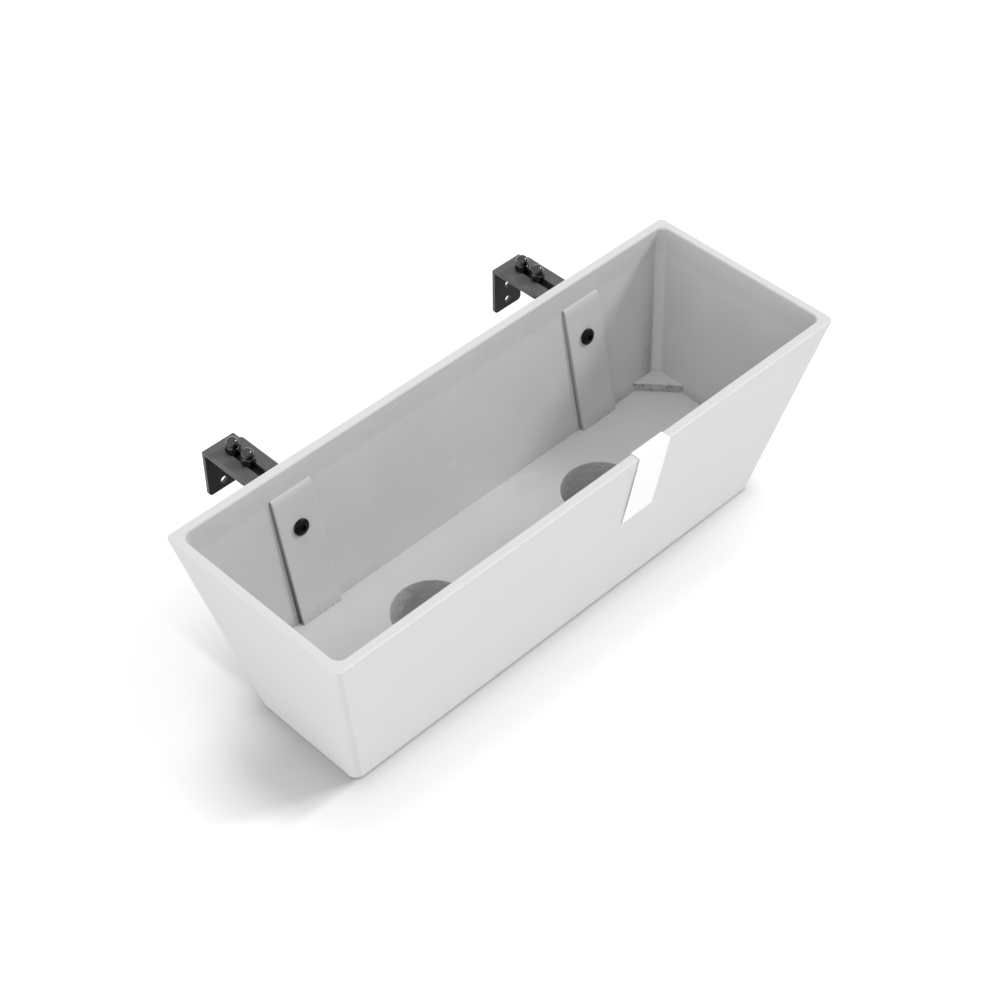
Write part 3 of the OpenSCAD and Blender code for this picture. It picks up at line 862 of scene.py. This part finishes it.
def build_shell(scene):
    t, f = scene.planter_trough, scene.planter_floor
    rows = shell_rows(t, f)
    points, faces, marks = [], [], []
    for z, inset, within, wear in rows:
        if within:
            made = ring(t, z, inset, t.inner_corner, pad_push(t, z))
            low = float(np.interp(z, (f.level, t.height - t.band, t.height), (1.0, 0.6, 0.0)))
            for i, point in enumerate(made):
                # Round the inner corner toward the railing: painted light on its rounding, added to
                # the edge wear, and painted shade where it meets the back wall, both fading upward
                light = CORNER_PAINTED_LIGHT if 2 <= i <= CORNER_STEPS - 2 else 0.0
                shaded = max(painted_shade(t, point), low * CORNER_PAINTED_SHADE.get(i, 0.0))
                marks.append((1.0 if z < t.height else 0.0, wall_crust(t, f.level, point),
                              wear + low * light, shaded))
        else:
            radius = t.base_corner + (t.rim_corner - t.base_corner) * z / t.height - inset / 2
            made = ring(t, z, inset, radius, groove_push(t, z))
            marks += [(0.0, 0.0, wear, 0.0)] * len(made)
        points += made
    n = len(made)
    for k in range(len(rows) - 1):
        faces += strip(k * n, (k + 1) * n, n)
    last = len(points) - n
    for z, wall_loop, upward in ((0.0, range(n), False),
                                 (t.base, range(last, last + n), True)):
        loops = [wall_loop]
        for way in BOTH_WAYS:
            loops.append(range(len(points), len(points) + DRAIN_COLUMNS))
            points += circle((way * f.well_place, f.well_shift), f.drain_radius, z, DRAIN_COLUMNS)
        faces += level_fill(points, loops, upward)
    drains = last + n
    for low in (drains, drains + DRAIN_COLUMNS):
        faces += [quad[::-1] for quad in strip(low, low + 2 * DRAIN_COLUMNS, DRAIN_COLUMNS)]
    marks += [SMOOTH_INSIDE] * 4 * DRAIN_COLUMNS
    return moulding(scene, "trough_moulding", points, faces, marks)


def relief(point, size):
    """Rough relief of a bare moulded face at a point, from about -1 to 1."""
    return noise.fractal(Vector(point) / size, 0.9, 2.1, 4, noise_basis="PERLIN_ORIGINAL")


def lip_rows(radius, high, lip):
    """Radii and heights of a rounded lip that opens a wall toward a level plane."""
    return [(radius + lip * (1 - math.cos(a)), high - lip * (1 - math.sin(a)))
            for a in arc(LIP_STEPS)[1:]]


def add_well(t, f, centre, points, faces, marks):
    """Adds one well's inner wall, lip, foot and tube, and returns its loops in the top and
    underside planes."""
    n = WELL_COLUMNS
    top, low, under = f.level, t.base, f.level - f.thickness
    rows = [(f.well_radius, low + (top - f.lip - low) * k / WELL_ROWS)
            for k in range(WELL_ROWS + 1)] + lip_rows(f.well_radius, top, f.lip)
    start = len(points)
    for radius, z in rows:
        calm = min(1.0, (top - z) / (4 * MM)) if (radius, z) != rows[-1] else 0.0
        for point in circle(centre, radius, z, n):
            spot = Vector(point)
            away = Vector((point[0] - centre[0], point[1] - centre[1], 0)).normalized()
            move = relief(spot, 6 * MM) * 0.6 + relief(spot, 2.2 * MM) * 0.4
            move *= f.roughness * (0.15 + 0.85 * calm) if calm else 0.0
            points.append(tuple(spot + away * move))
            marks.append((1.0, 0.22 * calm, 0.0, 0.0))
    loops = [start + k * n for k in range(len(rows))]
    for a, b in zip(loops, loops[1:]):
        faces += strip(a, b, n)
    foot = len(points)
    for z in (low, under):
        points += circle(centre, f.well_radius + f.well_wall, z, n)
    marks += [SMOOTH_INSIDE] * 2 * n
    faces += strip(start, foot, n) + strip(foot, foot + n, n)
    return range(loops[-1], loops[-1] + n), range(foot + n, foot + 2 * n)


def add_block(t, f, sx, sy, points, faces, marks):
    """Adds a corner block: a triangle with a smooth top and a rough slanting front."""
    low, high = f.level - 0.2 * MM, f.level + f.block_height
    corner_x, corner_y = half_length(t, f.level) - t.wall, half_width(t, f.level) - t.wall
    run, leg = f.block_run, f.block_leg
    slant = math.hypot(run, leg)
    radius = t.inner_corner - f.gap

    def outline(z, back):
        """The block's outline at a height, from the end wall round to the long wall, with its
        front set back toward the corner."""
        x = half_length(t, z) - t.wall - f.gap
        y = half_width(t, z) - t.wall - f.gap
        front = back * slant - run * leg
        return [(x, corner_y + (front - leg * (x - corner_x)) / run),
                *((x - radius + radius * math.cos(a), y - radius + radius * math.sin(a))
                  for a in arc(CORNER_STEPS)),
                (corner_x + (front - run * (y - corner_y)) / leg, y)]

    def add(x, y, z, crust=0.0):
        points.append((sx * x, sy * y, z))
        marks.append((1.0, crust, 0.0, 0.0))
        return len(points) - 1

    levels = [(0.0, low + (high - f.lip - low) * k / BLOCK_ROWS) for k in range(BLOCK_ROWS + 1)]
    levels += lip_rows(0.0, high, f.lip)
    grid = []
    for k, (back, z) in enumerate(levels):
        line = outline(z, back)
        crust = 1.0 if 0 < k < len(levels) - 2 else 0.0
        grid.append([])
        for i in range(BLOCK_COLUMNS + 1):
            u = i / BLOCK_COLUMNS
            x, y = (start + (end - start) * u for start, end in zip(line[0], line[-1]))
            calm = min(1.0, 8 * min(u, 1 - u)) * crust
            move = relief((sx * x, sy * y, z), 2.5 * MM) * 0.9 * MM * calm
            grid[-1].append(add(x - move * leg / slant, y - move * run / slant, z, crust))
    for a, b in zip(grid, grid[1:]):
        faces += [(a[i], a[i + 1], b[i + 1], b[i]) for i in range(BLOCK_COLUMNS)]
    foot, rim = ([row[0], *(add(x, y, z) for x, y in outline(z, 0.0)[1:-1]), row[-1]]
                 for row, z in ((grid[0], low), (grid[-1], high)))
    last = len(foot) - 2
    faces.append((*(row[0] for row in grid), rim[1], foot[1]))
    faces += [(foot[i], rim[i], rim[i + 1], foot[i + 1]) for i in range(1, last)]
    faces.append((foot[last], rim[last], *(row[-1] for row in reversed(grid))))
    faces += level_fill(points, [grid[-1] + rim[-2:0:-1]], True)
    faces += level_fill(points, [grid[0] + foot[-2:0:-1]], False)


def build_floor(scene):
    t, f = scene.planter_trough, scene.planter_floor
    points, faces = [], []
    for z in (f.level - f.thickness, f.level):
        points += ring(t, z, t.wall + f.gap, t.inner_corner - f.gap, pad_push(t, z, f.gap))
    n = len(points) // 2
    marks = [SMOOTH_INSIDE] * 2 * n
    faces += strip(0, n, n)
    rims, tubes = zip(*[
        add_well(t, f, (way * f.well_place, f.well_shift), points, faces, marks)
        for way in BOTH_WAYS])
    faces += level_fill(points, [range(n, 2 * n), *rims], True)
    faces += level_fill(points, [range(n), *tubes], False)
    for sx in BOTH_WAYS:
        for sy in BOTH_WAYS:
            add_block(t, f, sx, sy, points, faces, marks)
    return moulding(scene, "floor_moulding", points, faces, marks, turn_faces=True)


# Arms and hooks

def dressed_plate(scene, node, name):
    """A bent plate from its frame solid, with rounded edges, whose faces note which way they
    look."""
    bm = bmesh.new()
    bm.from_mesh(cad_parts[node].data)
    bmesh.ops.remove_doubles(bm, verts=bm.verts, dist=1e-6)
    bmesh.ops.dissolve_limit(bm, angle_limit=math.radians(0.5), verts=bm.verts, edges=bm.edges)
    sharp = bpy.data.meshes.new(name)
    bm.to_mesh(sharp)
    bm.free()
    plate = finished(sharp, name, material_of(scene, "coated_steel"))
    rounding = plate.modifiers.new("edges", "BEVEL")
    rounding.width = scene.planter_bracket.edge
    rounding.segments = 3
    rounding.limit_method = "ANGLE"
    rounding.angle_limit = math.radians(35)
    rounding.use_clamp_overlap = True
    keep_flats_flat(plate)
    rounded = evaluated_mesh(plate)
    plate.modifiers.clear()
    plate.data = rounded
    bpy.data.meshes.remove(sharp)
    rounded.name = name
    facing = rounded.attributes.new("facing", "FLOAT_VECTOR", "FACE")
    for face in rounded.polygons:
        facing.data[face.index].vector = face.normal
    return plate


# Screws and nuts

def button_screw_rows(f, total, thread_from):
    """Rows of a button head screw: the head hangs below 0 and the shank runs up from it."""
    bulge = f.head_height - f.head_rim
    crown = (f.head ** 2 / 4 + bulge ** 2) / (2 * bulge)
    mouth = f.socket / 2 / math.cos(math.pi / 6) + 0.4 * MM

    def dome_level(radius):
        return crown - f.head_height - math.sqrt(crown ** 2 - radius ** 2)

    face, half, shank, tip = dome_level(mouth), f.head / 2, f.thread / 2, total - 0.6 * MM
    rows = [(TURNED_CORE, face + f.socket_depth + 0.6 * MM),
            (f.socket * 0.55, face + f.socket_depth, f.socket),
            (f.socket, face + 0.3 * MM, f.socket), (mouth, face)]
    domed = [mouth + (half - 0.7 * MM - mouth) * i / 14 for i in range(1, 15)]
    rows += [(radius, dome_level(radius)) for radius in domed]
    rows += [(half - 0.25 * MM, -f.head_rim - 0.1 * MM), (half, -f.head_rim + 0.4 * MM),
             (half, -0.3 * MM), (half - 0.3 * MM, 0.0), (shank, 0.0), (shank, thread_from)]
    steps = max(8, int((tip - thread_from) / (f.pitch / 8)))
    rows += [(shank, thread_from + (tip - thread_from) * i / steps, None, f.pitch)
             for i in range(1, steps + 1)]
    return rows + [(shank - 0.9 * MM, total), (TURNED_CORE, total)]


def hexagon_rows(f):
    """Rows of a nut's chamfered hexagon, from the bottom outwards to the top."""
    half = f.nut / 2
    corner = half / math.cos(math.pi / 6)
    bevel = (corner - half) * math.tan(math.pi / 6)
    up = [(half + (corner - half) * i / 5, bevel * i / 5, f.nut) for i in range(6)]
    return (up + [(corner, f.nut_height / 2, f.nut)]
            + [(radius, f.nut_height - z, flats) for radius, z, flats in reversed(up)])


def nut_rows(f):
    """Rows of the plain nut and of the dome nut."""
    bore, dome, top = f.thread / 2 + BORE_EASE, f.dome / 2, f.nut_height
    mouth, deep = bore + BORE_CHAMFER, 0.4 * MM
    start = [(bore, deep), (mouth, 0.0), *hexagon_rows(f)]
    plain = start + [(mouth, top), (bore, top - deep)]
    domed = [(TURNED_CORE, DOME_BORE), (bore, DOME_BORE), *start,
             (dome + 0.1 * MM, top), (dome, top + 0.2 * MM),
             *((dome * math.cos(a), f.dome_height - dome + dome * math.sin(a))
               for a in arc(24)[:-1]), (TURNED_CORE, f.dome_height)]
    return plain, domed


def hook_row(f, kind, side):
    """Name, kind, body, solids, start, step, lean and spins of a hook's row of two fasteners."""
    nodes = tuple(f"{kind}_{side}_{which}" for which in ("inner", "outer"))
    lift = f.head_height if kind == "slot_screw" else 0.0
    places = []
    for node in nodes:
        low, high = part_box(node)
        places.append(Vector(((low.x + high.x) / 2, (low.y + high.y) / 2, low.z + lift)))
    return (f"{kind}s_{side}", kind, "hook_" + side, nodes, places[0], places[1] - places[0],
            0.0, 0.12, 0.4)


def build_fasteners(scene):
    """The fasteners in rows of two, each with its body, the solids it stands for and finish."""
    t, f = scene.planter_trough, scene.planter_fastener
    lean = math.atan((t.top_width - t.base_width) / 2 / t.height)
    seat = t.wall + pad_depth(t, f.screw_level)
    grip = (seat - t.groove_depth) * math.cos(lean) + f.washer_face
    low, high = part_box("slot_screw_left_inner")
    shank = high.z - low.z - f.head_height
    plain, domed = nut_rows(f)
    shapes = {
        "wall_screw": (button_screw_rows(f, grip + f.nut_height + 2 * MM, grip), "black_oxide"),
        "wall_nut": (plain, "black_oxide"),
        "slot_screw": (button_screw_rows(f, shank, shank - SLOT_THREAD), "black_oxide"),
        "dome_nut": (domed, "dark_chrome"),
    }
    masters = {kind: turned(kind + "_master", rows, material_of(scene, finish_name))
               for kind, (rows, finish_name) in shapes.items()}

    start = Vector((-t.pad_centre, half_width(t, f.screw_level) - seat, f.screw_level))
    behind = start + Vector((0, math.cos(lean), -math.sin(lean))) * grip
    pair, tilt = (2 * t.pad_centre, 0.0, 0.0), -math.pi / 2 - lean
    rows = [("wall_screws", "wall_screw", "planter", ("wall_screw_left", "wall_screw_right"),
             start, pair, tilt, 0.35, 0.9),
            ("wall_nuts", "wall_nut", "planter", ("wall_nut_left", "wall_nut_right"),
             behind, pair, tilt, 0.2, 0.5)]
    rows += [hook_row(f, kind, side) for side in SIDES for kind in ("slot_screw", "dome_nut")]
    tree = fastener_row_tree()
    made = []
    for name, kind, body, nodes, first, step, tip, spin, spin_step in rows:
        finish_name = shapes[kind][1]
        row = fastener_row(name, tree, fastener=masters[kind], count=len(nodes), start=first,
                           step=step, lean=tip, first_spin=spin, spin_step=spin_step,
                           material=material_of(scene, finish_name))
        made.append((row, body, nodes, finish_name))
    for master in masters.values():
        bpy.data.objects.remove(master)
    return made


# Card

def card_line(t, c):
    """The card's middle line as places along Y and heights, from the inner flap's end over the
    rim and down outside."""
    half = c.thickness / 2
    over = t.height + c.gap + half
    fold_z = over - CARD_FOLD
    out_y = -half_width(t, over) - c.gap - half
    in_y = -half_width(t, over) + t.rim + c.gap + half
    low_in, low_out = t.height - c.inner_drop, t.height + c.gap - c.drop
    start_y = -half_width(t, low_in) + inner_inset(t, low_in) + c.gap + half
    line = [(start_y + (in_y - start_y) * k / 9, low_in + (fold_z - low_in) * k / 9)
            for k in range(9)]
    for quarter, fold_y in enumerate((in_y - CARD_FOLD, out_y + CARD_FOLD)):
        line += [(fold_y + CARD_FOLD * math.cos(a), fold_z + CARD_FOLD * math.sin(a))
                 for a in arc(6, quarter)]
    for k in range(1, CARD_ROWS + 1):
        z = fold_z + (low_out - fold_z) * k / CARD_ROWS
        bow = CARD_BOW * math.sin(math.pi * k / CARD_ROWS)
        line.append((-half_width(t, z) - c.gap - half - bow, z))
    return line


def build_tag(scene):
    c = scene.planter_tag
    line = card_line(scene.planter_trough, c)
    travelled = [0.0]
    for p, q in zip(line, line[1:]):
        travelled.append(travelled[-1] + math.dist(p, q))
    fold_end = travelled[len(line) - CARD_ROWS - 1]
    columns = range(CARD_COLUMNS + 1)
    n = 2 * len(columns)
    points, faces = [], []
    for i, (y, z) in enumerate(line):
        before, after = line[max(0, i - 1)], line[min(len(line) - 1, i + 1)]
        along = Vector((after[0] - before[0], after[1] - before[1])).normalized()
        shift = c.lean * max(0.0, travelled[i] - fold_end) / (travelled[-1] - fold_end)
        for half, order in ((c.thickness / 2, columns), (-c.thickness / 2, reversed(columns))):
            for k in order:
                x = c.place + shift + c.width * (k / CARD_COLUMNS - 0.5)
                points.append((x, y + along.y * half, z - along.x * half))
    for i in range(len(line) - 1):
        faces += strip(i * n, (i + 1) * n, n)
    for end in (0, len(points) - n):
        faces += [(end + k, end + k + 1, end + n - 2 - k, end + n - 1 - k)
                  for k in range(CARD_COLUMNS)]
    tag = mesh_object("folded_card", points, faces, material_of(scene, "card"))
    face_outward(tag.data)
    return tag


# Stage

def floor_shade(n, s, t):
    """Brightness of the floor as the camera sees it, with a painted shadow set by how far and on
    which side of the base a place lies."""
    place = n.axes(n.place())
    x, y = (n.most(n.minus(n.size(place[axis]), side / 2 - t.base_corner), 0.0)
            for axis, side in (("X", t.base_length), ("Y", t.base_width)))
    apart = n.minus(n.maths("SQRT", n.plus(n.times(x, x), (y, y))), t.base_corner)
    before_front = n.maths("ADD", n.bend(apart, SHADE_FRONT),
                           n.fade(place["X"], 0.14, 0.27, 0.0, 0.09, smooth=True))
    past_end = n.minus(-t.base_length / 2, place["X"])
    inward = n.maths("ADD", n.plus(place["Y"], (past_end, -0.08)), t.base_width / 2)
    spread = n.plus(0.002, (n.most(past_end, 0.0), 0.12))
    at_end = n.times(n.fade(past_end, -0.006, 0.003),
                     n.fade(n.maths("DIVIDE", inward, spread), -1.0, 1.0, smooth=True))
    beside_end = n.mix(n.fade(place["Y"], -0.01, 0.09, smooth=True),
                       n.bend(apart, SHADE_END_FRONT), n.bend(apart, SHADE_END_BACK))
    return n.times(n.mix(at_end, before_front, beside_end), s.floor_shown)


def stage_floor(s, t):
    half = s.floor_size / 2
    corners = [(half * x, half * y, FLOOR_DROP) for x, y in ((-1, -1), (1, -1), (1, 1), (-1, 1))]
    material = bpy.data.materials.new("studio_floor")
    n = Nodes.afresh(material)
    colour_seen = n.blend(n.seen(), (0.9, 0.9, 0.9, 1.0), n.grey(floor_shade(n, s, t)))
    n.add("ShaderNodeOutputMaterial",
          {"Surface": n.add("ShaderNodeBsdfDiffuse", {"Color": colour_seen}, "BSDF")})
    mesh_object("studio_floor", corners, [(0, 1, 2, 3)], material)


def stage_sky(s):
    world = bpy.data.worlds.new("studio")
    n = Nodes.afresh(world)
    seen = n.seen()
    way = n.axes(n.add("ShaderNodeTexCoord", output="Generated"))
    high = n.most(way["Z"], 0.0)
    low = n.maths("POWER", n.minus(1.0, high), 3.0)
    beside = n.times(low, n.maths("POWER", n.size(way["X"]), 1.5))
    soft = n.plus(s.sky, (beside, s.sky_sides), (n.maths("POWER", high, 3.0), s.sky_top))
    sky = n.add("ShaderNodeBackground",
                {"Color": n.blend(seen, (0.8, 0.8, 0.8, 1.0), (1.0, 1.0, 1.0, 1.0)),
                 "Strength": n.plus(seen, (soft, n.minus(1.0, seen)))}, "Background")
    n.add("ShaderNodeOutputWorld", {"Surface": sky})
    return world


def stage_key(s):
    lamp = bpy.data.lights.new("soft_key", "SUN")
    lamp.energy = s.key
    lamp.angle = s.key_width
    key = bpy.data.objects.new("soft_key", lamp)
    key.rotation_euler = (math.pi / 2 - s.key_rise, 0.0, math.pi / 2 + s.key_bearing)
    return key


def stage_camera(s):
    data = bpy.data.cameras.new("photo_camera")
    data.lens = s.lens
    data.sensor_width = 36.0
    data.clip_start, data.clip_end = 0.05, 50.0
    camera = bpy.data.objects.new("photo_camera", data)
    camera.matrix_world = (Matrix.Translation(s.eye) @ Matrix.Rotation(s.bearing, 4, "Z")
                           @ Matrix.Rotation(math.pi / 2 - s.rise, 4, "X")
                           @ Matrix.Rotation(s.roll, 4, "Z"))
    return camera


def build_stage(scene):
    s = scene.planter_stage
    stage_floor(s, scene.planter_trough)
    scene.world = stage_sky(s)
    scene.camera = stage_camera(s)
    for obj in (scene.camera, stage_key(s)):
        scene.collection.objects.link(obj)
    scene.view_settings.view_transform = "Standard"


# Operators

def fit(piece, body, nodes):
    """Hands a piece to its body and hides the frame solids that it stands for."""
    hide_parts(*nodes)
    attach(piece, body)


class PLANTER_OT_stage(bpy.types.Operator):
    """Adds the pale floor, the soft light and the camera"""
    bl_idname = "planter.stage"
    bl_label = "Stage"

    def execute(self, context):
        build_stage(context.scene)
        return {"FINISHED"}


class PLANTER_OT_shell(bpy.types.Operator):
    """Builds the moulded trough"""
    bl_idname = "planter.shell"
    bl_label = "Trough"

    def execute(self, context):
        fit(build_shell(context.scene), "planter", ("trough_shell",))
        return {"FINISHED"}


class PLANTER_OT_floor(bpy.types.Operator):
    """Builds the raised floor with its wells and corner blocks"""
    bl_idname = "planter.floor"
    bl_label = "Raised floor"

    def execute(self, context):
        fit(build_floor(context.scene), "planter",
            ("raised_floor", "drain_well_left", "drain_well_right"))
        return {"FINISHED"}


class PLANTER_OT_plates(bpy.types.Operator):
    """Builds the slotted arms and the sliding hooks"""
    bl_idname = "planter.plates"
    bl_label = "Arms and hooks"

    def execute(self, context):
        for side in SIDES:
            arm = dressed_plate(context.scene, "arm_" + side, "slotted_arm_" + side)
            fit(arm, "planter", ("arm_" + side,))
            hook = dressed_plate(context.scene, "hook_" + side, "railing_hook_" + side)
            fit(hook, "hook_" + side, ("hook_" + side,))
        return {"FINISHED"}


class PLANTER_OT_fasteners(bpy.types.Operator):
    """Builds the screws and nuts"""
    bl_idname = "planter.fasteners"
    bl_label = "Screws and nuts"

    def execute(self, context):
        for piece, body, nodes, slot_name in build_fasteners(context.scene):
            fit(piece, body, nodes)
        return {"FINISHED"}


class PLANTER_OT_tag(bpy.types.Operator):
    """Builds the blank card over the rim"""
    bl_idname = "planter.tag"
    bl_label = "Card"

    def execute(self, context):
        fit(build_tag(context.scene), "planter", ("card_tag",))
        return {"FINISHED"}


OPERATORS = (PLANTER_OT_stage, PLANTER_OT_shell, PLANTER_OT_floor, PLANTER_OT_plates,
             PLANTER_OT_fasteners, PLANTER_OT_tag)


class PLANTER_PT_panel(bpy.types.Panel):
    """Lists the planter's pieces and sizes"""
    bl_idname = "PLANTER_PT_panel"
    bl_label = "Railing planter"
    bl_space_type = "VIEW_3D"
    bl_region_type = "UI"
    bl_category = "Planter"

    def draw(self, context):
        for operator in OPERATORS:
            self.layout.operator(operator.bl_idname)
        for name, group in GROUPS:
            box = self.layout.box()
            for key in group.__annotations__:
                box.prop(getattr(context.scene, name), key)


def register():
    for name, group in GROUPS:
        bpy.utils.register_class(group)
        setattr(bpy.types.Scene, name, bpy.props.PointerProperty(type=group))
    for cls in OPERATORS + (PLANTER_PT_panel,):
        bpy.utils.register_class(cls)


def unregister():
    for cls in reversed(OPERATORS + (PLANTER_PT_panel,)):
        bpy.utils.unregister_class(cls)
    for name, group in reversed(GROUPS):
        delattr(bpy.types.Scene, name)
        bpy.utils.unregister_class(group)


def main():
    register()
    bpy.ops.planter.stage()
    bpy.ops.planter.shell()
    bpy.ops.planter.floor()
    bpy.ops.planter.plates()
    bpy.ops.planter.fasteners()
    bpy.ops.planter.tag()


if __name__ == "__main__":
    main()
